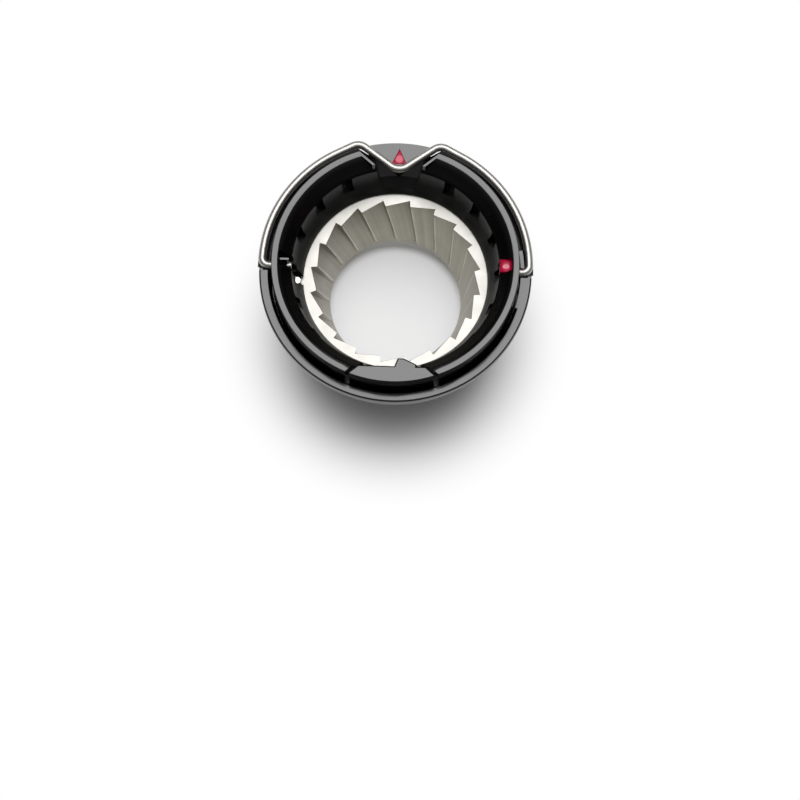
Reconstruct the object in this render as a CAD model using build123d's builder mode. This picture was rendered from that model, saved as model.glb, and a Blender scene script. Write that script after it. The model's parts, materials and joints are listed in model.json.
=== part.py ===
from build123d import *
from math import asin, atan2, cos, degrees, radians, sin, tan
import os

# Upper burr of a coffee grinder: a steel ring burr in a plastic carrier, with an outer collar
# and a wire handle. Millimetres, +Z up. It stands on the ring burr, X runs along the handle's
# pivot and -Y is the front.

# Ring burr
burr_height = 24.4
burr_outer_r = 24.6
burr_chamfer = 0.5
tooth_count = 20
tooth_wall = 2.6  # steel outside the deepest gullet, on the upper face
tooth_depth = 1.6
tooth_start = 10.0  # degrees from +X to one gullet's corner
tooth_step = 1.0  # degrees that a steep flank takes
tooth_twist = 9.0  # degrees that a gullet turns on its way down
throat_taper = 3.4  # from the tooth tips on the face in to the throat
throat_height = 6.0
throat_tooth_depth = 0.2
mouth_flare = 3.2  # from the throat out to the lower face
fine_tooth_count = 60
fine_tooth_depth = 0.6

# Burr carrier
burr_fit = 0.02
lip_overlap = 1.0  # how far the lip covers the burr's upper face
lip_thickness = 1.0
sleeve_wall = 2.8
sleeve_rise = 6.0  # from the burr's lower face up to the sleeve's end
ledge_width = 1.8  # from the burr's outside to the bowl's wall
bowl_depth = 13.6  # from the ledge up to the rim
bowl_fold_drop = 7.4  # from the rim down to where the bowl's wall turns inwards
bowl_draft = 0.3
cone_run = 3.4
cone_drop = 4.2
rim_width = 1.6
rim_chamfer = 0.15
shoulder_width = 1.2
shoulder_thickness = 2.6
core_inner_wall = 1.8  # plastic between the bowl and the hollow behind it
core_outer_wall = 1.7
core_roof = 1.6  # plastic between the back notch and the hollow

# Slots around the bowl
slot_pitch = 20.0
slot_width = 3.0
slot_depth = 1.2
slot_height = 7.3

# Notch at the back of the rim
notch_slant = 50.0  # degrees from Y to the sides of the notch and of the front tab
back_notch_half_width = 6.3  # at the bowl's wall
back_notch_depth = 10.4
back_floor_slope = 28.0  # degrees that the notch's floor rises outwards
cheek_thickness = 0.55
cheek_inset = 0.5  # from the bowl's wall back to the cheek's end

# Spring tab at the front, level with the rim, and the catch on its edge
tab_inner_y = 27.2
tab_half_width = 7.9  # at its inner edge
tab_slot_width = 1.1
tab_slot_depth = 9.6
catch_reach = 2.1  # inwards from the tab's edge
catch_steep_x = 0.6
catch_tip_x = 1.4
catch_flat = 1.5
catch_slope_x = 6.2
catch_foot = 0.6  # where the slope runs into the tab's edge
catch_round = 0.4
catch_thickness = 1.8

# Outer collar
collar_clearance = 0.2
collar_wall = 1.4
collar_height = 7.4
groove_width = 0.6
groove_depth = 3.0
flange_width = 2.5
flange_thickness = 2.0
flange_round = 0.5
flange_drop = 6.6  # from the rim down to the flange
back_flange_drop = 0.4  # from the front flange down to the back one, at the bore
back_flange_slope = 18.0  # degrees that the back flange falls outwards
back_flange_reach = 0.4  # out from the front flange to the back one
land_angle = 16.0  # degrees of the groove that are filled, beside the right-hand pivot
land_gap = 0.3
back_land_angle = 11.5  # the same behind that pivot, inside the wire
back_land_gap = 0.2  # from the wire to that filling

# Wire handle
wire_r = 1.0
wire_gap = 1.6  # between the rim and the wire beside the pivots
wire_arc_back = 1.3  # from the axis back to the middle of the wire's round stretch
pivot_y = 0.5
pivot_rise = 0.2  # pivot's height above the flange
pivot_clearance = 0.08
end_gap = 0.3  # between the pivot's leg and the flange's end
leg_bend_r = 1.8
wire_end_chamfer = 0.25
side_arc_end = 62.0  # degrees from +X to the end of the wire's round stretch
vee_half_width = 10.4
vee_depth = 7.55
vee_top_bend_r = 3.0
vee_tip_bend_r = 3.6

# Pointer tongue and red marks
tongue_thickness = 1.1
tongue_reach = 3.55  # out from the rim
tongue_gap = 0.1  # under the wire
tongue_clearance = 1.1  # from the tongue's sides to the collar
arrow_half_width = 1.95
arrow_length = 4.2
arrow_inset = 1.5  # from the tongue's end to the arrow's point
mark_thickness = 0.3
mark_bevel_width = 0.45
mark_bevel_drop = 0.15
window_width = 3.4
window_depth = 2.4  # below the cone's face
window_offset = 0.4  # from the handle's pivot back to the window's middle
window_margin = 0.2  # between the window and the rim
window_rib_offset = 0.4  # from the leg's axis to the rib in the left-hand window
window_rib_thickness = 0.5
window_rib_length = 2.5
window_rib_drop = 3.0  # from the rim down to the rib
tile_drop = 2.0  # from the rim down to the tile
tile_gap = 0.3  # over the handle's leg
tile_bevel_width = 0.8
tile_bevel_drop = 0.4

# Locating pin between burr and carrier
pin_r = 1.0
pin_angle = 182.5
pin_offset = 0.6  # out from the burr's outside
pin_length = 7.0
pin_proud = 0.5
pin_round = 0.2
pin_fit = 0.02
pin_well_r = 1.9  # opening in the lip round the pin
pin_well_height = 5.6

# Heights
ledge_z = burr_height + lip_thickness
rim_z = ledge_z + bowl_depth
cone_foot_z = rim_z - cone_drop
flange_z = rim_z - flange_drop
groove_z = flange_z - groove_depth
shoulder_z = flange_z - collar_height
shoulder_foot_z = shoulder_z - shoulder_thickness
bowl_fold_z = rim_z - bowl_fold_drop
back_floor_z = rim_z - back_notch_depth
core_top_z = back_floor_z - core_roof
pivot_z = flange_z + pivot_rise
tongue_z = pivot_z - wire_r - tongue_gap
tile_z = rim_z - tile_drop
tile_foot_z = pivot_z + wire_r + tile_gap
window_rib_z = rim_z - window_rib_drop

# Radii
root_r = burr_outer_r - tooth_wall
tip_r = root_r - tooth_depth
throat_r = tip_r - throat_taper
mouth_r = throat_r + mouth_flare
bore_r = burr_outer_r + burr_fit
lip_r = burr_outer_r - lip_overlap
sleeve_r = bore_r + sleeve_wall
bowl_r = burr_outer_r + ledge_width
rim_inner_r = bowl_r + cone_run
rim_outer_r = rim_inner_r + rim_width
shoulder_r = rim_outer_r + shoulder_width
collar_bore_r = rim_outer_r + collar_clearance
skirt_r = collar_bore_r + collar_wall
flange_inner_r = collar_bore_r + groove_width
flange_r = flange_inner_r + flange_width
back_flange_r = flange_r + back_flange_reach
wire_arc_r = rim_outer_r + wire_gap + wire_r
tongue_r = rim_outer_r + tongue_reach
pin_circle_r = burr_outer_r + pin_offset
window_end = rim_inner_r - window_margin
window_y = pivot_y + window_offset

# Where the wire's straight stretch meets the sides of its bend
arc_end_x = wire_arc_r * cos(radians(side_arc_end))
arc_end_y = wire_arc_back + wire_arc_r * sin(radians(side_arc_end))
straight_run = (arc_end_x - vee_half_width) / sin(radians(side_arc_end))
vee_top_y = arc_end_y + straight_run * cos(radians(side_arc_end))
vee_tip_y = vee_top_y - vee_depth

margin = 1.0  # how far a cut runs past what it cuts
upright = (Align.CENTER, Align.CENTER, Align.MIN)


def on_circle(radius, angle):
    """Point on a circle about the axis, from its radius and its angle in degrees."""
    return (radius * cos(radians(angle)), radius * sin(radians(angle)))


pin_foot = (*on_circle(pin_circle_r, pin_angle), ledge_z - pin_length)
pin_well_foot = (*on_circle(pin_circle_r, pin_angle), burr_height)


def saw_outline(count, root, tip, start):
    """Corners of a saw-toothed ring: each gullet falls slowly to a tip, then steps out again."""
    pitch = 360 / count
    corners = []
    for tooth in range(count):
        angle = start + tooth * pitch
        corners.append(on_circle(root, angle))
        corners.append(on_circle(tip, angle + pitch - tooth_step))
    return corners


def notch_outline(half_width):
    """Corners of the back notch, from its half width at the bowl's wall. It widens outwards."""
    outer_y = rim_outer_r + margin
    spread = tan(radians(notch_slant))
    inner_x = half_width - (bowl_r - lip_r) * spread
    outer_x = half_width + (outer_y - bowl_r) * spread
    return [(-inner_x, lip_r), (inner_x, lip_r), (outer_x, outer_y), (-outer_x, outer_y)]


def notch_floor_outline():
    """Corners of the back notch on its sloping floor."""
    stretch = 1 / cos(radians(back_floor_slope))
    return [(x, (y - bowl_r) * stretch) for x, y in notch_outline(back_notch_half_width)]


def tab_edge_x(y):
    """Half width of the front tab at a distance in front of the axis."""
    return tab_half_width + (y - tab_inner_y) * tan(radians(notch_slant))


def tab_outline():
    """Corners of the front tab, which widens outwards, before its slots are cut."""
    inner_x = tab_half_width + tab_slot_width / 2
    outer_x = tab_edge_x(rim_outer_r) + tab_slot_width / 2
    return [
        (-inner_x, -tab_inner_y),
        (-outer_x, -rim_outer_r),
        (outer_x, -rim_outer_r),
        (inner_x, -tab_inner_y),
    ]


def tab_slot_outline(side):
    """Corners of the slot beside the tab. The side is 1 on the right and -1 on the left."""
    outer_y = rim_outer_r + margin
    across = tab_slot_width / cos(radians(notch_slant))
    return [
        (side * tab_edge_x(lip_r), -lip_r),
        (side * tab_edge_x(outer_y), -outer_y),
        (side * (tab_edge_x(outer_y) + across), -outer_y),
        (side * (tab_edge_x(lip_r) + across), -lip_r),
    ]


def slot_angles():
    """Angles of the slots that lie clear of the back notch and of the front tab."""
    angles = []
    for step in range(int(360 / slot_pitch)):
        angle = step * slot_pitch
        x, y = on_circle(bowl_r, angle)
        half_width = back_notch_half_width if y > 0 else tab_half_width
        if abs(x) > half_width + slot_width:
            angles.append(angle)
    return angles


def tongue_wedge(clearance=0.0):
    """Corners of the wedge that the tongue fills, with its sides under the wire's bend."""
    inner_y = vee_tip_y - clearance
    outer_y = tongue_r + margin
    outer_x = (outer_y - inner_y) * vee_half_width / vee_depth
    return [(0, inner_y), (outer_x, outer_y), (-outer_x, outer_y)]


def arrow_outline():
    """Corners of the arrow, which points outwards."""
    point_y = tongue_r - arrow_inset
    base_y = point_y - arrow_length
    return [(0, point_y), (-arrow_half_width, base_y), (arrow_half_width, base_y)]


def catch_outline():
    """Corners of the catch: steep on one side, sloping on the other."""
    tip_y = catch_reach - tab_inner_y
    return [
        (catch_steep_x, -tab_inner_y - margin),
        (catch_steep_x, -tab_inner_y),
        (catch_tip_x, tip_y),
        (catch_tip_x + catch_flat, tip_y),
        (catch_slope_x, -tab_inner_y + catch_foot),
        (catch_slope_x, -tab_inner_y - margin),
    ]


def window_floor(radius):
    """Height of a window's floor at a radius. The floor lies below the cone and parallel to it."""
    return cone_foot_z - window_depth + (radius - bowl_r) * cone_drop / cone_run


def window_outline():
    """Corners of a window's cut in the right-hand half of the XZ section."""
    return [
        (bowl_r - margin, window_floor(bowl_r - margin)),
        (window_end, window_floor(window_end)),
        (window_end, rim_z + margin),
        (bowl_r - margin, rim_z + margin),
    ]


def tile_outline():
    """Corners of the tile in the XZ section: it lies on the window's floor and clears the leg."""
    seat_r = bowl_r + (tile_foot_z - window_floor(bowl_r)) * cone_run / cone_drop
    return [
        (bowl_r, tile_foot_z),
        (seat_r, tile_foot_z),
        (window_end, window_floor(window_end)),
        (window_end, tile_z),
        (bowl_r, tile_z),
    ]


def back_flange_outline():
    """Corners of what is cut off above the back flange, in the XZ section."""
    inner_r = collar_bore_r - margin
    outer_r = back_flange_r + margin
    top_z = flange_z + margin
    fall = tan(radians(back_flange_slope))
    inner_z = flange_z - back_flange_drop + margin * fall
    outer_z = inner_z - (outer_r - inner_r) * fall
    return [(inner_r, inner_z), (outer_r, outer_z), (outer_r, top_z), (inner_r, top_z)]


def land_outline(angle):
    """Corners of the sector from +X to an angle, where the collar's groove is filled."""
    reach = flange_r / cos(radians(angle))
    return [(0, 0), (reach, 0), on_circle(reach, angle)]


# Steel ring burr: coarse gullets down to the throat, fine teeth below it
with BuildPart() as ring_burr:
    Cylinder(burr_outer_r, burr_height, align=upright)
    chamfer(ring_burr.edges(), burr_chamfer)
    throat_tip_r = throat_r - throat_tooth_depth
    throat_start = tooth_start - tooth_twist
    with BuildSketch(Plane.XY.offset(burr_height)):
        Polygon(*saw_outline(tooth_count, root_r, tip_r, tooth_start), align=None)
    with BuildSketch(Plane.XY.offset(throat_height)):
        Polygon(*saw_outline(tooth_count, throat_r, throat_tip_r, throat_start), align=None)
    loft(ruled=True, mode=Mode.SUBTRACT)
    with BuildSketch(Plane.XY.offset(throat_height)):
        Polygon(*saw_outline(fine_tooth_count, throat_r, throat_tip_r, 0), align=None)
    with BuildSketch(Plane.XY):
        Polygon(*saw_outline(fine_tooth_count, mouth_r + fine_tooth_depth, mouth_r, 0), align=None)
    loft(ruled=True, mode=Mode.SUBTRACT)
    Hole(throat_r)
    with Locations(pin_foot):
        Cylinder(pin_r + pin_fit, pin_length + margin, align=upright, mode=Mode.SUBTRACT)

# Plastic carrier: sleeve round the burr, bowl above it, shoulder for the collar
with BuildPart() as burr_carrier:
    with BuildSketch(Plane.XZ) as carrier_section:
        with BuildLine():
            Polyline(
                (rim_outer_r, rim_z),
                (rim_inner_r, rim_z),
                (bowl_r, cone_foot_z),
                (bowl_r - bowl_draft, bowl_fold_z),
                (lip_r, ledge_z),
                (lip_r, burr_height),
                (bore_r, burr_height),
                (bore_r, sleeve_rise),
                (sleeve_r, sleeve_rise),
                (sleeve_r, shoulder_foot_z),
                (shoulder_r, shoulder_foot_z),
                (shoulder_r, shoulder_z),
                (rim_outer_r, shoulder_z),
                close=True,
            )
        make_face()
        chamfer(carrier_section.vertices().group_by(Axis.Y)[-1], rim_chamfer)
    revolve(axis=Axis.Z)

    # Hollow behind the bowl, open below
    with BuildSketch(Plane.XY.offset(shoulder_foot_z)):
        Circle(rim_outer_r - core_outer_wall)
        Circle(bowl_r + core_inner_wall, mode=Mode.SUBTRACT)
    extrude(amount=core_top_z - shoulder_foot_z, mode=Mode.SUBTRACT)

    # Slots round the bowl's wall, left out beside the back notch and the front tab
    with BuildSketch(Plane.XY.offset(cone_foot_z - slot_height)):
        for angle in slot_angles():
            with Locations(Location(on_circle(bowl_r, angle), angle)):
                Rectangle(2 * slot_depth, slot_width)
    extrude(amount=slot_height, mode=Mode.SUBTRACT)

    # Cheeks along the back notch, level with the rim
    with BuildSketch(Plane.XY.offset(cone_foot_z)):
        cheek_half_width = back_notch_half_width + cheek_thickness / cos(radians(notch_slant))
        Polygon(*notch_outline(cheek_half_width), align=None)
        Circle(rim_inner_r + rim_width / 2, mode=Mode.INTERSECT)
        Circle(bowl_r + cheek_inset, mode=Mode.SUBTRACT)
    extrude(amount=cone_drop)

    # Notch at the back, with a floor that rises outwards
    floor_up = (0, -sin(radians(back_floor_slope)), cos(radians(back_floor_slope)))
    with BuildSketch(Plane((0, bowl_r, back_floor_z), x_dir=(1, 0, 0), z_dir=floor_up)):
        Polygon(*notch_floor_outline(), align=None)
    extrude(amount=back_notch_depth + 3 * margin, dir=(0, 0, 1), mode=Mode.SUBTRACT)

    # Pointer tongue in the back notch, under the wire's bend
    with BuildSketch(Plane.XY.offset(tongue_z)):
        Circle(tongue_r)
        Polygon(*tongue_wedge(), align=None, mode=Mode.INTERSECT)
    extrude(amount=-tongue_thickness)
    with BuildSketch(Plane.XY.offset(back_floor_z)):
        Circle(rim_outer_r)
        Polygon(*tongue_wedge(), align=None, mode=Mode.INTERSECT)
    extrude(amount=tongue_z - back_floor_z)
    with BuildSketch(Plane.XY.offset(tongue_z)):
        Polygon(*arrow_outline(), align=None)
    extrude(amount=-mark_thickness, mode=Mode.SUBTRACT)

    # Spring tab at the front between two slots, with the catch that juts in from its edge
    with BuildSketch(Plane.XY.offset(cone_foot_z)):
        Polygon(*tab_outline(), align=None)
        Circle(rim_inner_r + rim_width / 2, mode=Mode.INTERSECT)
    extrude(amount=cone_drop)
    with BuildSketch(Plane.XY.offset(rim_z)) as catch_sketch:
        Polygon(*catch_outline(), align=None)
        fillet(catch_sketch.vertices().group_by(Axis.Y)[-1], catch_round)
    extrude(amount=-catch_thickness)
    with BuildSketch(Plane.XY.offset(rim_z - tab_slot_depth)):
        for side in (1, -1):
            Polygon(*tab_slot_outline(side), align=None)
    extrude(amount=tab_slot_depth + margin, mode=Mode.SUBTRACT)

    # Windows in the cone over the handle's legs, with a rib in the left-hand one
    with BuildSketch(Plane.XZ.offset(-window_y)):
        Polygon(*window_outline(), align=None)
        mirror(about=Plane.YZ)
    extrude(amount=window_width / 2, both=True, mode=Mode.SUBTRACT)
    with BuildSketch(Plane.XY.offset(window_rib_z)):
        with Locations((-window_end, pivot_y + window_rib_offset)):
            Rectangle(window_rib_length, window_rib_thickness, align=Align.MIN)
    extrude(amount=pivot_z - window_rib_z)

    # Holes for the handle's legs and for the locating pin
    with BuildSketch(Plane.YZ):
        with Locations((pivot_y, pivot_z)):
            Circle(wire_r + pivot_clearance)
    extrude(amount=rim_outer_r + margin, both=True, mode=Mode.SUBTRACT)
    with Locations(pin_foot):
        Cylinder(pin_r + pin_fit, pin_length + margin, align=upright, mode=Mode.SUBTRACT)
    with Locations(pin_well_foot):
        Cylinder(pin_well_r, pin_well_height, align=upright, mode=Mode.SUBTRACT)

# Outer collar: a skirt round the carrier, with a flange that is lower and slopes at the back
with BuildPart() as outer_collar:
    with BuildSketch(Plane.XZ) as collar_section:
        with BuildLine():
            Polyline(
                (collar_bore_r, shoulder_z),
                (skirt_r, shoulder_z),
                (skirt_r, flange_z - flange_thickness),
                (flange_r, flange_z - flange_thickness),
                (flange_r, flange_z),
                (flange_inner_r, flange_z),
                (collar_bore_r, groove_z),
                close=True,
            )
        make_face()
        fillet(collar_section.vertices().group_by(Axis.Y)[-1], flange_round)
    revolve(axis=Axis.Z)
    with BuildSketch(Plane.XY.offset(groove_z)):
        Circle(flange_inner_r + flange_round)
        Circle(collar_bore_r + land_gap, mode=Mode.SUBTRACT)
        Polygon(*land_outline(-land_angle), align=None, mode=Mode.INTERSECT)
    extrude(amount=groove_depth)

    # The flange reaches further out at the back
    with BuildSketch(Plane.XY.offset(flange_z)):
        Circle(back_flange_r)
        Circle(skirt_r, mode=Mode.SUBTRACT)
        with Locations((0, pivot_y)):
            Rectangle(2 * back_flange_r, back_flange_r, align=(Align.CENTER, Align.MIN), mode=Mode.INTERSECT)
    extrude(amount=-flange_thickness)

    # Room at the back for the wire, for its legs and for the carrier's tongue
    with BuildSketch(Plane.XZ):
        Polygon(*back_flange_outline(), align=None)
    revolve(axis=Axis.Z, revolution_arc=180, mode=Mode.SUBTRACT)
    with BuildSketch(Plane.XY.offset(groove_z)):
        Circle(wire_arc_r - wire_r - back_land_gap)
        Circle(collar_bore_r + land_gap, mode=Mode.SUBTRACT)
        Polygon(*land_outline(back_land_angle), align=None, mode=Mode.INTERSECT)
    extrude(amount=groove_depth)
    with BuildSketch(Plane.XY.offset(pivot_z - wire_r - end_gap)):
        with Locations((0, pivot_y)):
            Rectangle(2 * back_flange_r + margin, 2 * (wire_r + end_gap))
    extrude(amount=flange_thickness, mode=Mode.SUBTRACT)
    with BuildSketch(Plane.XY.offset(tongue_z - tongue_thickness - tongue_gap)):
        Polygon(*tongue_wedge(tongue_clearance), align=None)
    extrude(amount=flange_thickness, mode=Mode.SUBTRACT)

# Wire handle: two legs, round sides and a bend that points inwards at the back
with BuildPart() as wire_handle:
    with BuildLine(Plane.XY.offset(pivot_z)) as wire_path:
        bend_angle = degrees(asin((pivot_y + leg_bend_r - wire_arc_back) / (wire_arc_r - leg_bend_r)))
        bend_x = (wire_arc_r - leg_bend_r) * cos(radians(bend_angle))
        vee_slope = degrees(atan2(vee_depth, vee_half_width))
        top_turn = 90 - side_arc_end + vee_slope
        top_setback = vee_top_bend_r * tan(radians(top_turn / 2))
        tip_setback = vee_tip_bend_r * tan(radians(vee_slope))
        vee_side = vee_half_width / cos(radians(vee_slope)) - top_setback - tip_setback
        leg = Line((bowl_r, pivot_y), (bend_x, pivot_y))
        bend = JernArc(leg @ 1, leg % 1, leg_bend_r, 90 + bend_angle)
        side = JernArc(bend @ 1, bend % 1, wire_arc_r, side_arc_end - bend_angle)
        run = Line(side @ 1, side @ 1 + (side % 1) * (straight_run - top_setback))
        top = JernArc(run @ 1, run % 1, vee_top_bend_r, top_turn)
        slope = Line(top @ 1, top @ 1 + (top % 1) * vee_side)
        JernArc(slope @ 1, slope % 1, vee_tip_bend_r, -vee_slope)
        mirror(about=Plane.YZ)
    with BuildSketch(Plane.YZ.offset(bowl_r)):
        with Locations((pivot_y, pivot_z)):
            Circle(wire_r)
    sweep(path=wire_path.wire())
    chamfer(wire_handle.faces().filter_by(GeomType.PLANE).edges(), wire_end_chamfer)

# Red arrow let into the tongue
with BuildPart() as arrow_mark:
    with BuildSketch(Plane.XY.offset(tongue_z)):
        Polygon(*arrow_outline(), align=None)
    extrude(amount=-mark_thickness)
    arrow_face = arrow_mark.faces().sort_by(Axis.Z)[-1]
    chamfer(arrow_face.edges(), mark_bevel_width, mark_bevel_drop, reference=arrow_face)

# Red tile pressed into the window on the right, over the end of the handle's leg
with BuildPart() as setting_tile:
    with BuildSketch(Plane.XZ.offset(-window_y)):
        Polygon(*tile_outline(), align=None)
    extrude(amount=window_width / 2, both=True)
    tile_face = setting_tile.faces().sort_by(Axis.Z)[-1]
    chamfer(tile_face.edges(), tile_bevel_width, tile_bevel_drop, reference=tile_face)

# Steel pin that keys the burr to the carrier
with BuildPart() as locating_pin:
    with Locations(pin_foot):
        Cylinder(pin_r, pin_length + pin_proud, align=upright)
    fillet(locating_pin.edges().group_by(Axis.Z)[-1], pin_round)

pieces = {
    "ring_burr": ring_burr,
    "burr_carrier": burr_carrier,
    "outer_collar": outer_collar,
    "wire_handle": wire_handle,
    "arrow_mark": arrow_mark,
    "setting_tile": setting_tile,
    "locating_pin": locating_pin,
}
os.makedirs("parts", exist_ok=True)
for name, piece in pieces.items():
    piece.part.label = name
    export_step(piece.part, f"parts/{name}.step")
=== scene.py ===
import json
import math

import bmesh
import bpy
from mathutils import Matrix, Vector


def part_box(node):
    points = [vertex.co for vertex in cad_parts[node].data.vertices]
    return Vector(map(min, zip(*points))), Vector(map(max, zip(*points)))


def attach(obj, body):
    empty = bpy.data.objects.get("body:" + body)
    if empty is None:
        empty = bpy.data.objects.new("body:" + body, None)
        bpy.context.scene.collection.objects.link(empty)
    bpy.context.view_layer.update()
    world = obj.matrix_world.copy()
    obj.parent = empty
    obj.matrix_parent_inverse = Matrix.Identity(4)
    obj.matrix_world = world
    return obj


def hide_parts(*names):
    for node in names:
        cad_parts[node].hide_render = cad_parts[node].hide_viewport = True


# Upper burr of a coffee grinder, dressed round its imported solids. Metres, +Z up, -Y is the front.
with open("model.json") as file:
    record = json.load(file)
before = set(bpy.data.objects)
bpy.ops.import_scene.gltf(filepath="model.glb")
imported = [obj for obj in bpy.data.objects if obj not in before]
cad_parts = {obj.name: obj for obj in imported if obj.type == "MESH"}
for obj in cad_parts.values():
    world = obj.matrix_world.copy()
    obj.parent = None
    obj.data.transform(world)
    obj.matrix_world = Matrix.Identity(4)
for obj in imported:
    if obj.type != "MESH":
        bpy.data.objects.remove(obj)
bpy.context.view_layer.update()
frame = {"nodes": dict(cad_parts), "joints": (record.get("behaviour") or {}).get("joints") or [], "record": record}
nodes = frame["nodes"]

mm = 0.001

# Ring burr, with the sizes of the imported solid
burr_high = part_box("ring_burr")[1]
burr_r = burr_high.x
burr_height = burr_high.z
burr_chamfer = 0.5 * mm
tooth_count = 20
tooth_root_r = burr_r - 2.6 * mm
tooth_tip_r = tooth_root_r - 1.6 * mm
tooth_start = 10.0  # this and the next two in degrees
tooth_step = 1.0
tooth_twist = 9.0
throat_r = tooth_tip_r - 3.4 * mm
throat_z = 6.0 * mm
fine_tooth_count = 60
fine_tip_r = throat_r + 3.2 * mm
fine_root_r = fine_tip_r + 0.6 * mm
tooth_edge = 0.07 * mm  # worn edge on the teeth
tooth_edge_angle = 38.0  # degrees
wear_and_highlight_share = 0.90  # of a flank's length, from where its tip edge is painted lighter: wear and a painted highlight
grime_and_shade_share = 0.14  # of a flank's length, up to where its corner is painted darker: grime and painted shade
ring_columns = 360
wall_rows = 4
face_rows = 2
flank_rows = 12
fine_rows = 4

# Carrier
rim_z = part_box("burr_carrier")[1].z
bowl_r = burr_r + 1.8 * mm  # its wall above the burr
bowl_top_z = rim_z - 4.2 * mm
polish_start = 0.4 * mm  # past the bowl, where its dull finish starts to shine
polish_full = 0.8 * mm

# Wire handle
wire_low, wire_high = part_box("wire_handle")
wire_r = (wire_high.z - wire_low.z) / 2
wire_z = (wire_high.z + wire_low.z) / 2
pivot_y = frame["joints"][0]["pos_m"][1]
leg_end_x = bowl_r
leg_bend_r = 1.8 * mm
side_arc_r = burr_r + 9.4 * mm
side_arc_back = 1.3 * mm
side_arc_end = 62.0  # degrees
vee_half_width = 10.4 * mm
vee_depth = 7.55 * mm
vee_top_bend_r = 3.0 * mm
vee_tip_bend_r = 3.6 * mm
wire_end_edge = 0.25 * mm
wire_end_angle = 60.0  # degrees
wire_smooth_angle = 40.0
wire_sides = 28
bend_step = math.radians(4)
side_step = math.radians(2)
draw_stretch = 0.06  # lengths along the wire count this much, so that its lines run along it

# Softened edges, with angles in degrees
moulded_edge = 0.12 * mm
mark_edge = 0.06 * mm
moulded_edge_angle = 35.0
smooth_angle = 30.0
flat_angle = 0.2
weld_distance = 0.0005 * mm

# Rounding on the inner edge of the carrier's front tab
tab_half_width = 8.0 * mm
tab_inner_y = -27.4 * mm  # the edge lies behind it
tab_round = 0.38 * mm
tab_round_segments = 5
tab_edge_angle = 80.0  # degrees

# Rounding along the front of the collar's flange
flange_r = -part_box("outer_collar")[0].y
flange_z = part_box("outer_collar")[1].z
flange_round = 0.5 * mm
rounding_reach = 0.005 * mm  # a point this near to the rounding belongs to it
rounding_rows = 8

# Colours
carrier_dark, carrier_pale = (0.0015, 0.0015, 0.0017, 1), (0.003, 0.003, 0.0035, 1)
collar_dark, collar_pale = (0.002, 0.002, 0.0025, 1), (0.004, 0.004, 0.0045, 1)
face_dark, face_pale = (0.355, 0.348, 0.325, 1), (0.455, 0.447, 0.42, 1)
flank_dark, flank_pale = (0.21, 0.192, 0.15, 1), (0.55, 0.53, 0.45, 1)
# lighter tip edge of the flanks: wear and a painted highlight
flank_wear_and_highlight = (0.85, 0.83, 0.78, 1)
side_dark, side_pale = (0.50, 0.485, 0.46, 1), (0.64, 0.625, 0.60, 1)
wire_dark, wire_pale = (0.42, 0.405, 0.385, 1), (0.54, 0.525, 0.50, 1)
red_dark, red_pale = (0.33, 0.004, 0.030, 1), (0.42, 0.008, 0.045, 1)
# lighter red of the painted highlight in each mark's middle
red_painted_highlight = (0.62, 0.03, 0.09, 1)
pin_dark, pin_pale = (0.68, 0.67, 0.65, 1), (0.80, 0.79, 0.77, 1)
plain_white = (1, 1, 1, 1)
floor_white = (0.92, 0.92, 0.92, 1)
# colour of the painted light on the floor under the throat
throat_painted_light_colour = (0.85, 0.855, 0.87, 1)

# View and light
photo_size = 800
target_pixel = (395.4, 271.0)
pixels_per_metre = 3930.0
view_azimuth = math.radians(1.9)
view_elevation = math.radians(71.5)
view_distance = 0.9
target = Vector((0, 0, 32.4 * mm))
sensor = 36.0
softbox_radiance = 4.4
softbox_size = (0.60, 0.52)
softbox_distance = 0.7
softbox_azimuth = math.radians(-4)
softbox_elevation = math.radians(72)
sky_low = 0.04  # strength of the sky up to the height where it starts to brighten
sky_gain = 0.25
sky_start = 0.1
floor_half = 12.0
shadow_middle = -7.4 * mm  # along Y
shadow_reach = 19 * mm
white_reach = 48 * mm
throat_painted_light_in = throat_r - 1.5 * mm  # where the floor that shows through the throat glows with painted light
throat_painted_light_out = throat_r + 2.2 * mm
throat_painted_light_share = 0.45
clip_start = 0.01


class Signal:
    """An output of a node. Arithmetic on it adds Math nodes, and node() adds any other kind."""

    def __init__(self, tree, output=None):
        self.tree = tree
        self.output = output

    def node(self, kind, settings=(), inputs=(), output=0):
        """Adds a node: its settings first, then the values or links of its inputs."""
        added = self.tree.nodes.new(kind)
        for name, value in dict(settings).items():
            setattr(added, name, value)
        for key, value in dict(inputs).items():
            for one in value if isinstance(value, list) else [value]:
                if isinstance(one, Signal):
                    self.tree.links.new(one.output, added.inputs[key])
                else:
                    added.inputs[key].default_value = one
        return Signal(self.tree, added.outputs[output] if added.outputs else None)

    def beside(self, name):
        """Another output of the same node."""
        return Signal(self.tree, self.output.node.outputs[name])

    def math(self, operation, *values):
        """A Math node on these values."""
        return self.node("ShaderNodeMath", {"operation": operation}, dict(enumerate(values)))

    def __add__(self, other):
        return self.math("ADD", self, other)

    def __sub__(self, other):
        return self.math("SUBTRACT", self, other)

    def __mul__(self, other):
        return self.math("MULTIPLY", self, other)

    def __truediv__(self, other):
        return self.math("DIVIDE", self, other)

    def __rtruediv__(self, other):
        return self.math("DIVIDE", other, self)

    __radd__ = __add__
    __rmul__ = __mul__


# Materials


def new_material(name):
    """An empty material and the start of its nodes."""
    material = bpy.data.materials.new(name)
    material.use_nodes = True
    material.node_tree.nodes.clear()
    return material, Signal(material.node_tree)


def object_place(graph):
    """Object coordinates, as a vector and as x, y and z."""
    place = graph.node("ShaderNodeTexCoord", output="Object")
    x = graph.node("ShaderNodeSeparateXYZ", inputs={"Vector": place})
    return place, x, x.beside("Y"), x.beside("Z")


def distance(graph, across, ahead):
    """Length of a flat vector."""
    return graph.math("SQRT", across * across + ahead * ahead)


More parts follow.
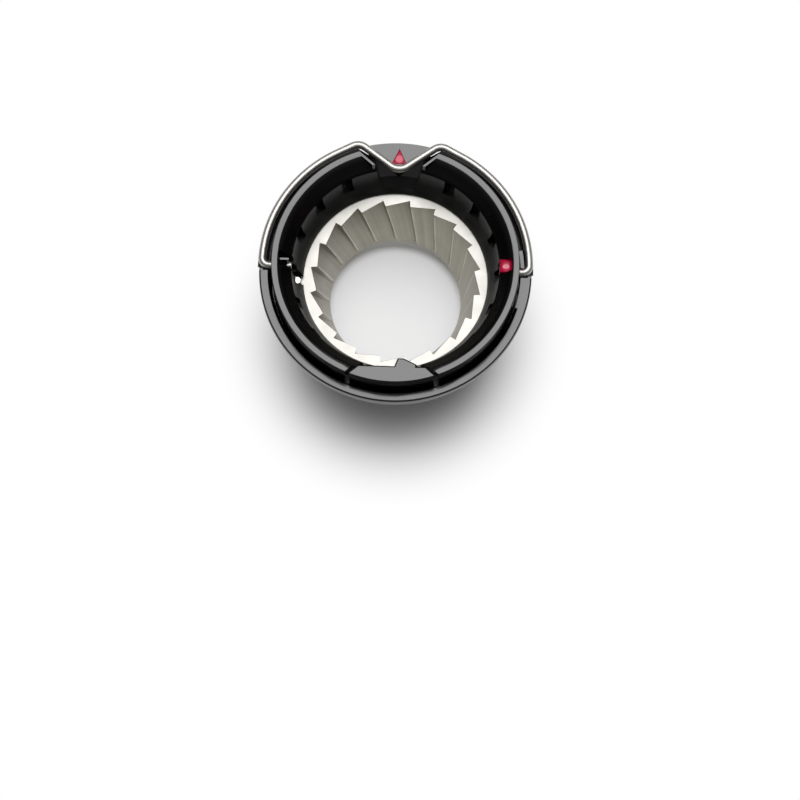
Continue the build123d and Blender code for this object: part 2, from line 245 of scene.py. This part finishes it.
def noise(graph, vector, size, detail=2.0):
    """Noise whose features measure about the given size."""
    return graph.node("ShaderNodeTexNoise", inputs={"Vector": vector, "Scale": 1 / size, "Detail": detail})


def line_noise(graph, position, pitch, detail=2.0):
    """Noise along one line, for machining marks about a pitch apart."""
    settings = {"noise_dimensions": "1D"}
    return graph.node("ShaderNodeTexNoise", settings, {"W": position, "Scale": 1 / pitch, "Detail": detail})


def mix_colour(graph, factor, first, second):
    """A colour between two."""
    settings = {"data_type": "RGBA"}
    return graph.node("ShaderNodeMix", settings, {0: factor, 6: first, 7: second}, output=2)


def smooth_range(graph, value, low, high):
    """0 at low, 1 at high and a smooth step between. Low may be the larger of the two."""
    settings = {"interpolation_type": "SMOOTHSTEP"}
    return graph.node("ShaderNodeMapRange", settings, {"Value": value, "From Min": low, "From Max": high})


def bump(graph, height, depth, strength=1.0):
    """A normal with relief of the given depth."""
    return graph.node("ShaderNodeBump", inputs={"Height": height, "Distance": depth, "Strength": strength})


def surface(graph, inputs):
    """Ends a material in one Principled surface."""
    shader = graph.node("ShaderNodeBsdfPrincipled", inputs=inputs)
    graph.node("ShaderNodeOutputMaterial", inputs={"Surface": shader})


def moulded_black(name, dark, pale, roughness):
    """Black moulded plastic: polished outside and duller in the bowl, with a faint mottle."""
    material, graph = new_material(name)
    place, x, y, z = object_place(graph)
    mottle = noise(graph, place, 6 * mm, 3.0)
    grain = noise(graph, place, 0.25 * mm, 2.0)
    inputs = {
        "Base Color": mix_colour(graph, mottle, dark, pale),
        "Roughness": roughness + 0.08 * mottle + 0.04 * grain,
        "Specular IOR Level": 0.75,
        "Normal": bump(graph, grain, 0.004 * mm, 0.5),
    }
    polished = graph.node("ShaderNodeBsdfPrincipled", inputs=inputs)
    matt = {"Roughness": 0.34 + 0.08 * mottle + 0.04 * grain, "Specular IOR Level": 0.2}
    dull = graph.node("ShaderNodeBsdfPrincipled", inputs={**inputs, **matt})
    outside = smooth_range(graph, distance(graph, x, y), bowl_r + polish_start, bowl_r + polish_full)
    above = smooth_range(graph, z, bowl_top_z + polish_start, bowl_top_z + polish_full)
    outside = graph.math("MAXIMUM", outside, above)
    mixed = graph.node("ShaderNodeMixShader", inputs={0: outside, 1: dull, 2: polished})
    graph.node("ShaderNodeOutputMaterial", inputs={"Surface": mixed})
    return material


def dull_edge():
    """Black plastic of the tab's rounded edge, which is duller than the top."""
    material, graph = new_material("carrier_dull_edge_plastic")
    place, _, _, _ = object_place(graph)
    mottle = noise(graph, place, 2 * mm, 3.0)
    surface(graph, {
        "Base Color": mix_colour(graph, mottle, carrier_dark, carrier_pale),
        "Roughness": 0.36 + 0.12 * mottle,
        "Specular IOR Level": 0.15,
    })
    return material


def ground_face():
    """The burr's faces: bright ground steel with fine marks that run round."""
    material, graph = new_material("ground_face_steel")
    place, x, y, _ = object_place(graph)
    marks = line_noise(graph, distance(graph, x, y), 0.12 * mm, 3.0)
    cloud = noise(graph, place, 4 * mm, 2.0)
    surface(graph, {
        "Base Color": mix_colour(graph, marks, face_dark, face_pale),
        "Metallic": 1.0,
        "Roughness": 0.36 + 0.12 * cloud + 0.08 * marks,
        "Normal": bump(graph, marks, 0.006 * mm),
    })
    return material


def milled_flank():
    """The teeth: warm grey steel with cutter marks that run down each gullet, each tip edge painted lighter (wear
    and a painted highlight) and each corner painted darker (grime and painted shade).
    """
    material, graph = new_material("milled_flank_steel")
    place, x, y, z = object_place(graph)
    turn = math.radians(tooth_twist) / (burr_height - throat_z)
    round_angle = graph.math("ARCTAN2", y, x) - z * turn
    marks = line_noise(graph, round_angle * throat_r, 0.16 * mm, 3.0)
    broad = line_noise(graph, round_angle * throat_r, 1.3 * mm, 1.0)
    cloud = noise(graph, place, 5 * mm, 2.0)
    along = graph.node("ShaderNodeAttribute", {"attribute_name": "along_tooth"}, output="Fac")
    # tip edge painted lighter: wear and a painted highlight
    wear_and_highlight = smooth_range(graph, along, wear_and_highlight_share, 1.0)
    # corner painted darker: grime and painted shade
    dull = smooth_range(graph, along, grime_and_shade_share, 0.0)
    tone = 0.5 * marks + 0.3 * broad + 0.2 * cloud - 0.35 * dull
    steel = mix_colour(graph, tone, flank_dark, flank_pale)
    surface(graph, {
        "Base Color": mix_colour(graph, wear_and_highlight * (0.15 + 0.7 * cloud), steel, flank_wear_and_highlight),
        "Metallic": 1.0,
        "Roughness": 0.34 + 0.14 * marks,
        "Normal": bump(graph, marks, 0.012 * mm),
    })
    return material


def turned_side():
    """The burr's outside: turned steel with rings one above the other."""
    material, graph = new_material("turned_side_steel")
    place, _, _, z = object_place(graph)
    rings = line_noise(graph, z, 0.2 * mm, 2.0)
    cloud = noise(graph, place, 5 * mm, 2.0)
    surface(graph, {
        "Base Color": mix_colour(graph, rings, side_dark, side_pale),
        "Metallic": 1.0,
        "Roughness": 0.30 + 0.14 * cloud,
        "Normal": bump(graph, rings, 0.010 * mm),
    })
    return material


def drawn_wire():
    """Stainless wire with fine drawing lines along it."""
    material, graph = new_material("drawn_stainless_wire")
    section = graph.node("ShaderNodeAttribute", {"attribute_name": "section"}, output="Vector")
    along = graph.node("ShaderNodeAttribute", {"attribute_name": "along"}, output="Fac")
    split = graph.node("ShaderNodeSeparateXYZ", inputs={"Vector": section})
    drawn = {"X": split, "Y": split.beside("Y"), "Z": along * draw_stretch}
    stretch = graph.node("ShaderNodeCombineXYZ", inputs=drawn)
    lines = noise(graph, stretch, 0.10 * mm, 2.0)
    cloud = noise(graph, stretch, 0.6 * mm, 2.0)
    surface(graph, {
        "Base Color": mix_colour(graph, lines, wire_dark, wire_pale),
        "Metallic": 1.0,
        "Roughness": 0.36 + 0.10 * lines + 0.06 * cloud,
        "Normal": bump(graph, lines, 0.004 * mm),
    })
    return material


def red_mark_plastic(node, middle_r, gloss):
    """Red plastic of a mark: a painted highlight in the middle, lighter and glossier, and a duller, deeper red
    border.
    """
    material, graph = new_material(node + "_red_plastic")
    place, x, y, _ = object_place(graph)
    low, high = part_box(node)
    across = x - (low.x + high.x) / 2
    ahead = y - (2 * low.y + high.y) / 3  # a third of the way back
    # painted highlight: lighter red towards the middle
    middle = smooth_range(graph, distance(graph, across, ahead), middle_r, middle_r / 2)
    cloud = noise(graph, place, 1.2 * mm, 2.0)
    grain = noise(graph, place, 0.2 * mm, 2.0)
    red = mix_colour(graph, cloud, red_dark, red_pale)
    surface(graph, {
        "Base Color": mix_colour(graph, middle, red, red_painted_highlight),
        "Roughness": 0.16 + 0.08 * grain,
        "Specular IOR Level": 0.12,
        "Coat Weight": gloss * middle,
        "Normal": bump(graph, grain, 0.003 * mm, 0.5),
    })
    return material


def bright_pin():
    """Bright steel of the locating pin."""
    material, graph = new_material("bright_pin_steel")
    place, _, _, z = object_place(graph)
    rings = line_noise(graph, z, 0.08 * mm, 2.0)
    cloud = noise(graph, place, 0.8 * mm, 2.0)
    surface(graph, {
        "Base Color": mix_colour(graph, cloud, pin_dark, pin_pale),
        "Metallic": 1.0,
        "Roughness": 0.20 + 0.10 * rings,
        "Normal": bump(graph, rings, 0.003 * mm),
    })
    return material


carrier_plastic = moulded_black("carrier_black_plastic", carrier_dark, carrier_pale, roughness=0.12)
collar_plastic = moulded_black("collar_black_plastic", collar_dark, collar_pale, roughness=0.13)
edge_plastic = dull_edge()
face_steel = ground_face()
flank_steel = milled_flank()
side_steel = turned_side()
wire_steel = drawn_wire()
arrow_red = red_mark_plastic("arrow_mark", middle_r=1.3 * mm, gloss=0.6)
tile_red = red_mark_plastic("setting_tile", middle_r=1.2 * mm, gloss=1.0)
pin_steel = bright_pin()


# Shared by the pieces


def new_tree(name, sizes, geometry_in=False):
    """A geometry tree with named inputs for sizes. Gives the tree, its start and each input."""
    tree = bpy.data.node_groups.new(name, "GeometryNodeTree")
    tree.interface.new_socket("Mesh", in_out="OUTPUT", socket_type="NodeSocketGeometry")
    if geometry_in:
        tree.interface.new_socket("Path", in_out="INPUT", socket_type="NodeSocketGeometry")
    for size, value in sizes.items():
        kind = "NodeSocketInt" if isinstance(value, int) else "NodeSocketFloat"
        tree.interface.new_socket(size, in_out="INPUT", socket_type=kind)
    graph = Signal(tree)
    first = graph.node("NodeGroupInput")
    return tree, graph, {socket.name: first.beside(socket.name) for socket in first.output.node.outputs[:-1]}


def grown(name, mesh, tree, sizes):
    """A plain mesh object made by a geometry tree with these sizes."""
    seed = bpy.data.objects.new(name, mesh)
    bpy.context.scene.collection.objects.link(seed)
    modifier = seed.modifiers.new(tree.name, "NODES")
    modifier.node_group = tree
    for socket in tree.interface.items_tree:
        if socket.in_out == "INPUT" and socket.name in sizes:
            modifier[socket.identifier] = sizes[socket.name]
    depsgraph = bpy.context.evaluated_depsgraph_get()
    grown_mesh = bpy.data.meshes.new_from_object(seed.evaluated_get(depsgraph))
    seed.modifiers.clear()
    seed.data = grown_mesh
    return seed


def shade_by_angle(mesh, angle):
    """Smooth shading with sharp edges past an angle."""
    mesh.polygons.foreach_set("use_smooth", [True] * len(mesh.polygons))
    mesh.set_sharp_from_angle(angle=math.radians(angle))


def soften(piece, width, angle=None, segments=2):
    """Rounds the edges past an angle.

    Without an angle it rounds the weighted edges, in the piece's second finish.
    """
    bevel = piece.modifiers.new("softened_edges", "BEVEL")
    bevel.width = width
    bevel.segments = segments
    bevel.limit_method = "ANGLE" if angle else "WEIGHT"
    bevel.use_clamp_overlap = bool(angle)
    if angle:
        bevel.angle_limit = math.radians(angle)
    else:
        bevel.material = 1
    bevel.harden_normals = True


def dress(piece, node):
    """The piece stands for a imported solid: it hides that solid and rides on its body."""
    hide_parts(node)
    body = next(name for name, members in frame["record"]["behaviour"]["bodies"].items() if node in members)
    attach(piece, body)


# Ring burr


saw_ring_sizes = {
    "Columns": ring_columns,
    "Outer Radius": burr_r,
    "Height": burr_height,
    "Chamfer": burr_chamfer,
    "Teeth": tooth_count,
    "Root Radius": tooth_root_r,
    "Tip Radius": tooth_tip_r,
    "Start": tooth_start,
    "Step": tooth_step,
    "Twist": tooth_twist,
    "Throat Radius": throat_r,
    "Throat Height": throat_z,
    "Fine Teeth": fine_tooth_count,
    "Fine Root Radius": fine_root_r,
    "Fine Tip Radius": fine_tip_r,
}


def saw_ring_tree():
    """Tree of the ring burr: strips from ring to ring round its section, each with its own finish."""
    tree, graph, size = new_tree("saw_ring", saw_ring_sizes)
    across = graph.node("ShaderNodeSeparateXYZ", inputs={"Vector": graph.node("GeometryNodeInputPosition")})
    column = graph.math("ROUND", (across + 0.5) * size["Columns"])
    degrees = column * 360 / size["Columns"]
    share = across.beside("Y") + 0.5

    def polar(radius, angle, height):
        radians = angle * (math.pi / 180)
        x = radius * graph.math("COSINE", radians)
        y = radius * graph.math("SINE", radians)
        return graph.node("ShaderNodeCombineXYZ", inputs={"X": x, "Y": y, "Z": height})

    def between(first, second, factor):
        settings = {"data_type": "VECTOR"}
        return graph.node("ShaderNodeMix", settings, {0: factor, 4: first, 5: second}, output=1)

    def saw(count, root, tip, start, height):
        pitch = 360 / count
        slack = 0.001  # a column on a tooth's first corner belongs to that tooth
        tooth = graph.math("FLOOR", (degrees - start) / pitch + slack)
        corner = tooth * pitch + start
        flank = pitch - size["Step"]
        along = (degrees - corner) / flank
        return between(polar(root, corner, height), polar(tip, corner + flank, height), along), along

    def strip(rows, first, second, material, along=0.5):
        cells = {"Size X": 1.0, "Size Y": 1.0, "Vertices X": size["Columns"] + 1, "Vertices Y": rows + 1}
        grid = graph.node("GeometryNodeMeshGrid", inputs=cells)
        settings = {"data_type": "FLOAT", "domain": "POINT"}
        marked = graph.node("GeometryNodeStoreNamedAttribute", settings,
                            {"Geometry": grid, "Name": "along_tooth", "Value": along})
        placed = graph.node("GeometryNodeSetPosition",
                            inputs={"Geometry": marked, "Position": between(first, second, share)})
        return graph.node("GeometryNodeSetMaterial", inputs={"Geometry": placed, "Material": material})

    outer, height, chamfer = size["Outer Radius"], size["Height"], size["Chamfer"]
    zero = height * 0
    wall_top = polar(outer, degrees, height - chamfer)
    face_edge = polar(outer - chamfer, degrees, height)
    teeth, along = saw(size["Teeth"], size["Root Radius"], size["Tip Radius"], size["Start"], height)
    throat_turned = polar(size["Throat Radius"], degrees - size["Twist"], size["Throat Height"])
    throat = polar(size["Throat Radius"], degrees, size["Throat Height"])
    fine_root, fine_tip = size["Fine Root Radius"], size["Fine Tip Radius"]
    fine_teeth, fine_along = saw(size["Fine Teeth"], fine_root, fine_tip, zero, zero)
    foot_edge = polar(outer - chamfer, degrees, zero)
    wall_foot = polar(outer, degrees, chamfer)
    strips = [
        strip(1, wall_top, face_edge, side_steel),
        strip(face_rows, face_edge, teeth, face_steel),
        strip(flank_rows, teeth, throat_turned, flank_steel, along),
        strip(fine_rows, throat, fine_teeth, flank_steel, fine_along),
        strip(face_rows, fine_teeth, foot_edge, face_steel),
        strip(1, foot_edge, wall_foot, side_steel),
        strip(wall_rows, wall_foot, wall_top, side_steel),
    ]
    joined = graph.node("GeometryNodeJoinGeometry", inputs={"Geometry": strips})
    welded = graph.node("GeometryNodeMergeByDistance", inputs={"Geometry": joined, "Distance": weld_distance})
    real = graph.node("GeometryNodeRealizeInstances", inputs={"Geometry": welded})
    graph.node("NodeGroupOutput", inputs={"Mesh": real})
    return tree


ring = grown("burr_ring", bpy.data.meshes.new("burr_ring"), saw_ring_tree(), saw_ring_sizes)
shade_by_angle(ring.data, smooth_angle)
soften(ring, tooth_edge, tooth_edge_angle)
dress(ring, "ring_burr")


# Handle


def handle_path():
    """Points along the wire's middle: legs, bends, round sides, straight runs and the bend at the back."""
    points = [Vector((leg_end_x, pivot_y, wire_z))]
    heading = 0.0

    def forward(length):
        points.append(points[-1] + length * Vector((math.cos(heading), math.sin(heading), 0)))

    def turn(radius, angle, step=bend_step):
        nonlocal heading
        count = math.ceil(abs(angle) / step)
        chord = 2 * radius * math.sin(abs(angle) / count / 2)
        for _ in range(count):
            heading += angle / count / 2
            forward(chord)
            heading += angle / count / 2

    bend_angle = math.asin((pivot_y + leg_bend_r - side_arc_back) / (side_arc_r - leg_bend_r))
    arc_end = math.radians(side_arc_end)
    run = (side_arc_r * math.cos(arc_end) - vee_half_width) / math.sin(arc_end)
    slope = math.atan2(vee_depth, vee_half_width)
    top_turn = math.pi / 2 - arc_end + slope
    top_setback = vee_top_bend_r * math.tan(top_turn / 2)
    tip_setback = vee_tip_bend_r * math.tan(slope)
    forward((side_arc_r - leg_bend_r) * math.cos(bend_angle) - leg_end_x)
    turn(leg_bend_r, math.pi / 2 + bend_angle)
    turn(side_arc_r, arc_end - bend_angle, side_step)
    forward(run - top_setback)
    turn(vee_top_bend_r, top_turn)
    forward(vee_half_width / math.cos(slope) - top_setback - tip_setback)
    turn(vee_tip_bend_r, -slope)
    mirrored = [Vector((-point.x, point.y, point.z)) for point in reversed(points[:-1])]
    return points + mirrored


def wire_tree(sizes):
    """Tree of the handle: a round wire along a path, with its section and length kept for the finish."""
    tree, graph, size = new_tree("bent_wire", sizes, geometry_in=True)
    path = graph.node("GeometryNodeMeshToCurve", inputs={"Mesh": size["Path"]})
    length = graph.node("GeometryNodeSplineParameter", output="Length")
    marked = graph.node("GeometryNodeStoreNamedAttribute", {"data_type": "FLOAT", "domain": "POINT"},
                        {"Geometry": path, "Name": "along", "Value": length})
    circle = graph.node("GeometryNodeCurvePrimitiveCircle",
                        inputs={"Resolution": size["Sides"], "Radius": size["Radius"]})
    place = graph.node("GeometryNodeInputPosition")
    section = graph.node("GeometryNodeStoreNamedAttribute", {"data_type": "FLOAT_VECTOR", "domain": "POINT"},
                         {"Geometry": circle, "Name": "section", "Value": place})
    swept = graph.node("GeometryNodeCurveToMesh",
                       inputs={"Curve": marked, "Profile Curve": section, "Fill Caps": True})
    real = graph.node("GeometryNodeRealizeInstances", inputs={"Geometry": swept})
    finished = graph.node("GeometryNodeSetMaterial", inputs={"Geometry": real, "Material": wire_steel})
    graph.node("NodeGroupOutput", inputs={"Mesh": finished})
    return tree


wire_sizes = {"Radius": wire_r, "Sides": wire_sides}
path_points = handle_path()
path_mesh = bpy.data.meshes.new("handle_path")
path_mesh.from_pydata(path_points, [(i, i + 1) for i in range(len(path_points) - 1)], [])
handle = grown("bent_handle", path_mesh, wire_tree(wire_sizes), wire_sizes)
shade_by_angle(handle.data, wire_smooth_angle)
soften(handle, wire_end_edge, wire_end_angle)
dress(handle, "wire_handle")


# Moulded pieces


def even_rounding(shape):
    """Lays the rounding along the flange's front afresh in even rows.

    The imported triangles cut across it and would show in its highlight.
    """
    middle_r = flange_r - flange_round
    middle_z = flange_z - flange_round

    def angle(point):
        return math.atan2(point.co.y, point.co.x)

    def on_rounding(point):
        out, rise = point.co.xy.length - middle_r, point.co.z - middle_z
        near = abs(math.hypot(out, rise) - flange_round) < rounding_reach
        return near and min(out, rise) > -rounding_reach and point.co.y < 0

    def below_top(point):
        return point.co.z < flange_z - weld_distance

    points = {point for point in shape.verts if on_rounding(point)}
    packed = [
        face for face in shape.faces
        if points.issuperset(face.verts) and any(below_top(point) for point in face.verts)
    ]
    bmesh.ops.delete(shape, geom=packed, context="FACES")
    border = sorted((point for point in points if point.is_valid), key=angle, reverse=True)
    top = [point for point in border if not below_top(point)]
    side = [point for point in border if below_top(point)]
    turns = [angle(point) for point in top]
    rows = [top]
    for step in range(1, rounding_rows):
        lean = math.pi / 2 * step / rounding_rows
        row_r = middle_r + flange_round * math.sin(lean)
        row_z = middle_z + flange_round * math.cos(lean)
        row = [Vector((row_r * math.cos(turn), row_r * math.sin(turn), row_z)) for turn in turns]
        for end in (0, -1):  # both ends lie in the plane that cuts the flange off
            end_y = top[end].co.y
            row[end] = Vector((math.copysign(math.sqrt(row_r ** 2 - end_y ** 2), row[end].x), end_y, row_z))
        rows.append([shape.verts.new(place) for place in row])
    rows.append(side)
    for upper, lower in zip(rows, rows[1:]):  # triangles between two rows, from one end to the other
        i = j = 0
        while i + j < len(upper) + len(lower) - 2:
            lower_done = j + 1 == len(lower)
            if lower_done or (i + 1 < len(upper) and angle(upper[i + 1]) > angle(lower[j + 1])):
                shape.faces.new((upper[i], upper[i + 1], lower[j]))
                i += 1
            else:
                shape.faces.new((upper[i], lower[j + 1], lower[j]))
                j += 1
    shape.faces.new([row[0] for row in rows])
    shape.faces.new([row[-1] for row in reversed(rows)])


def weigh_tab_edge(shape):
    """Gives weight to the inner edge of the front tab's top."""
    weight = shape.edges.layers.float.new("bevel_weight_edge")
    for edge in shape.edges:
        on_top = all(end.co.z > rim_z - weld_distance for end in edge.verts)
        inner = all(abs(end.co.x) < tab_half_width and tab_inner_y < end.co.y < 0 for end in edge.verts)
        if on_top and inner and edge.calc_face_angle(0) > math.radians(tab_edge_angle):
            edge[weight] = 1.0


def softened_copy(name, node, width):
    """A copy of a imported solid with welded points, flat faces joined and rounded edges."""
    source = nodes[node].data
    mesh = bpy.data.meshes.new(name)
    mesh.from_pydata([v.co.copy() for v in source.vertices], [], [tuple(p.vertices) for p in source.polygons])
    shape = bmesh.new()
    shape.from_mesh(mesh)
    bmesh.ops.remove_doubles(shape, verts=shape.verts, dist=weld_distance)
    if node == "outer_collar":
        even_rounding(shape)
    flat = math.radians(flat_angle)
    bmesh.ops.dissolve_limit(shape, angle_limit=flat, verts=shape.verts, edges=shape.edges)
    if node == "burr_carrier":
        weigh_tab_edge(shape)
    shape.to_mesh(mesh)
    shape.free()
    piece = bpy.data.objects.new(name, mesh)
    bpy.context.scene.collection.objects.link(piece)
    shade_by_angle(mesh, smooth_angle)
    if node == "burr_carrier":
        soften(piece, tab_round, segments=tab_round_segments)
    soften(piece, width, moulded_edge_angle)
    return piece


moulded_pieces = {
    "moulded_carrier": ("burr_carrier", "carrier_plastic", carrier_plastic, moulded_edge),
    "moulded_collar": ("outer_collar", "collar_plastic", collar_plastic, moulded_edge),
    "red_arrow": ("arrow_mark", "red_mark", arrow_red, mark_edge),
    "red_tile": ("setting_tile", "red_mark", tile_red, moulded_edge),
    "steel_pin": ("locating_pin", "pin_steel", pin_steel, mark_edge),
}
for name, (node, slot, material, width) in moulded_pieces.items():
    piece = softened_copy(name, node, width)
    piece.data.materials.append(material)
    if node == "burr_carrier":
        piece.data.materials.append(edge_plastic)
    dress(piece, node)


# Floor, light and camera


def floor_material():
    """White floor. Far from the object it is plain white to the eye and to reflections, and under the throat it
    glows with painted light.
    """
    material, graph = new_material("white_floor")
    _, x, y, _ = object_place(graph)
    ahead = y - shadow_middle
    far = smooth_range(graph, distance(graph, x, ahead), shadow_reach, white_reach)
    throat_painted_light_mask = smooth_range(graph, distance(graph, x, y), throat_painted_light_out, throat_painted_light_in)
    ray = graph.node("ShaderNodeLightPath", output="Is Camera Ray")
    bounced = graph.math("MAXIMUM", ray.beside("Is Glossy Ray"), ray.beside("Is Transmission Ray"))
    share = graph.math("MAXIMUM", far, throat_painted_light_mask * throat_painted_light_share) * graph.math("MAXIMUM", ray, bounced)
    lit = graph.node("ShaderNodeBsdfDiffuse", inputs={"Color": floor_white})
    white = mix_colour(graph, throat_painted_light_mask, plain_white, throat_painted_light_colour)
    plain = graph.node("ShaderNodeEmission", inputs={"Color": white, "Strength": 1.0})
    mixed = graph.node("ShaderNodeMixShader", inputs={0: share, 1: lit, 2: plain})
    graph.node("ShaderNodeOutputMaterial", inputs={"Surface": mixed})
    return material


floor_mesh = bpy.data.meshes.new("floor")
floor_corners = [(-1, -1), (1, -1), (1, 1), (-1, 1)]
floor_mesh.from_pydata([(floor_half * x, floor_half * y, 0) for x, y in floor_corners], [], [(0, 1, 2, 3)])
floor_mesh.materials.append(floor_material())
floor = bpy.data.objects.new("floor", floor_mesh)
bpy.context.scene.collection.objects.link(floor)


def direction(azimuth, elevation):
    """Unit vector from the object. Azimuth 0 is the front, towards -Y."""
    flat = math.cos(elevation)
    return Vector((math.sin(azimuth) * flat, -math.cos(azimuth) * flat, math.sin(elevation)))


softbox_data = bpy.data.lights.new("softbox", "AREA")
softbox_data.shape = "RECTANGLE"
softbox_data.size, softbox_data.size_y = softbox_size
softbox_data.energy = softbox_radiance * math.pi * softbox_size[0] * softbox_size[1]
softbox = bpy.data.objects.new("softbox", softbox_data)
bpy.context.scene.collection.objects.link(softbox)
softbox_direction = direction(math.pi + softbox_azimuth, softbox_elevation)
softbox.location = target + softbox_distance * softbox_direction
softbox.rotation_euler = softbox_direction.to_track_quat("Z", "Y").to_euler()

world = bpy.data.worlds.new("studio")
bpy.context.scene.world = world
world.use_nodes = True
world.node_tree.nodes.clear()
world_graph = Signal(world.node_tree)
heading = world_graph.node("ShaderNodeTexCoord", output="Generated")
height = world_graph.node("ShaderNodeSeparateXYZ", inputs={"Vector": heading}).beside("Z")
sky = sky_low + sky_gain * smooth_range(world_graph, height, sky_start, 1.0)
backdrop = world_graph.node("ShaderNodeBackground", inputs={"Color": plain_white, "Strength": sky})
world_graph.node("ShaderNodeOutputWorld", inputs={"Surface": backdrop})

camera_data = bpy.data.cameras.new("camera")
camera_data.sensor_width = sensor
camera_data.lens = pixels_per_metre * view_distance * sensor / photo_size
camera = bpy.data.objects.new("camera", camera_data)
bpy.context.scene.collection.objects.link(camera)
back = direction(view_azimuth, view_elevation)
right = Vector((math.cos(view_azimuth), math.sin(view_azimuth), 0))
up = back.cross(right)
aim = target + right * (photo_size / 2 - target_pixel[0]) / pixels_per_metre
aim -= up * (photo_size / 2 - target_pixel[1]) / pixels_per_metre
camera.location = target + back * view_distance
view_back = (camera.location - aim).normalized()
view_right = (right - view_back * right.dot(view_back)).normalized()
view_up = view_back.cross(view_right)
camera.rotation_euler = Matrix((view_right, view_up, view_back)).transposed().to_euler()
camera_data.clip_start = clip_start
bpy.context.scene.camera = camera
bpy.context.scene.view_settings.view_transform = "Standard"
